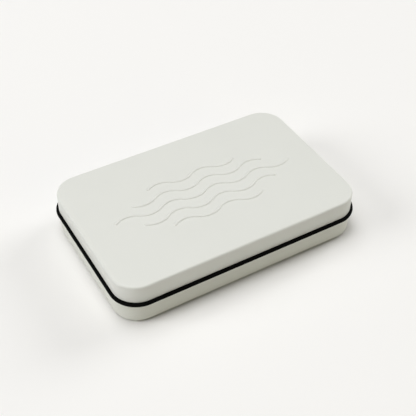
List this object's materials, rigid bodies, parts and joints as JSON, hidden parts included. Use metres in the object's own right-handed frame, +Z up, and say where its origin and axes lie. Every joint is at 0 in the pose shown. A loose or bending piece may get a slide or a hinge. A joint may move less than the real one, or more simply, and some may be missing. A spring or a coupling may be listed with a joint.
{
  "type": "fly box",
  "caption": "Shallow rounded metal case for fishing flies: hinged lid with pressed water lines, dark seal ring at the seam, foam rows and a foam lid lining inside.",
  "frame": {"origin": "centre of the flat underside of the base", "axes": "+X along the box, parallel to the hinge, +Y to the hinge side, +Z up through the lid"},
  "size_m": [0.143, 0.0962, 0.0252],
  "materials": {
    "shell_paint": "satin",
    "hinge_paint": "satin",
    "seal_rubber": "satin",
    "pin_steel": "polished",
    "foam": "matte",
    "foam_glue": "matte"
  },
  "bodies": {
    "base": {"base_shell": "shell_paint", "seal_ring": "seal_rubber", "base_foam_glue": "foam_glue", "base_foam_backing": "foam", "foam_strip_1": "foam", "foam_strip_2": "foam", "foam_strip_3": "foam", "foam_strip_4": "foam", "foam_strip_5": "foam", "foam_strip_6": "foam", "foam_strip_7": "foam", "foam_strip_8": "foam", "left_hinge_base_leaf": "hinge_paint", "right_hinge_base_leaf": "hinge_paint", "left_hinge_pin": "pin_steel", "right_hinge_pin": "pin_steel"},
    "lid": {"lid_shell": "shell_paint", "lid_foam_glue": "foam_glue", "lid_foam_pad": "foam", "left_hinge_lid_leaf": "hinge_paint", "right_hinge_lid_leaf": "hinge_paint"}
  },
  "joints": [
    {"name": "lid_hinge", "type": "hinge", "parent": "base", "child": "lid", "pos_m": [0, 0.04821, 0.01317], "axis": [-1, 0, 0], "range_deg": [0, 180]}
  ]
}
